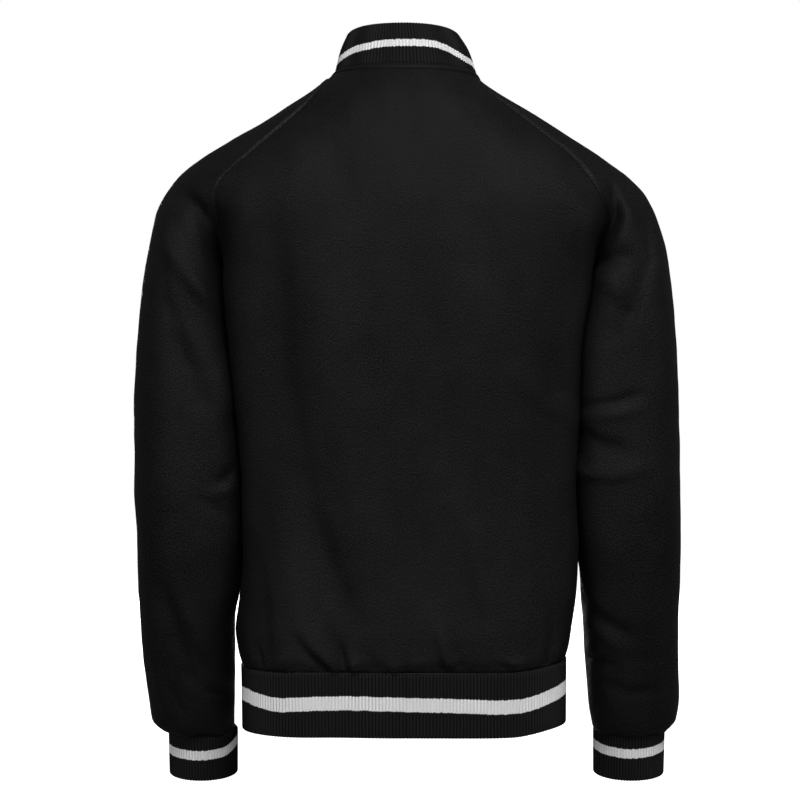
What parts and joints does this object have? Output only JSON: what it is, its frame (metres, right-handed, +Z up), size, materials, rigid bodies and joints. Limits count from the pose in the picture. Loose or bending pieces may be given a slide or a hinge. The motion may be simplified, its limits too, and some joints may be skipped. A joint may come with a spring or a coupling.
{
  "type": "varsity jacket",
  "caption": "Black raglan-sleeved varsity jacket, hollow and filled out as worn, with ribbed knit collar, cuffs and hem band that carry a white stripe.",
  "frame": {"origin": "middle of the neck base, level with the back of the neck seam, where the wearer's neck and shoulders hold the jacket up", "axes": "+Z up, the front faces -Y, +X is the wearer's left"},
  "size_m": [0.5738, 0.2439, 0.79],
  "materials": {
    "fleece_backed_cloth": "black fleece-backed cloth with a soft satin sheen",
    "neck_tape": "black tape over the collar seam, flat and matte",
    "rib_knit": "black rib knit, matte, with one white stripe",
    "snap_enamel": "black enamel, satin"
  },
  "bodies": {
    "root": {"back": "fleece_backed_cloth", "front_left": "fleece_backed_cloth", "front_right": "fleece_backed_cloth", "sleeve_left": "fleece_backed_cloth", "sleeve_right": "fleece_backed_cloth", "neck_band": "neck_tape", "collar": "rib_knit", "hem_rib": "rib_knit", "cuff_left": "rib_knit", "cuff_right": "rib_knit", "snap_1": "snap_enamel", "snap_2": "snap_enamel", "snap_3": "snap_enamel", "snap_4": "snap_enamel", "snap_5": "snap_enamel", "snap_6": "snap_enamel", "snap_7": "snap_enamel"}
  },
  "joints": []
}
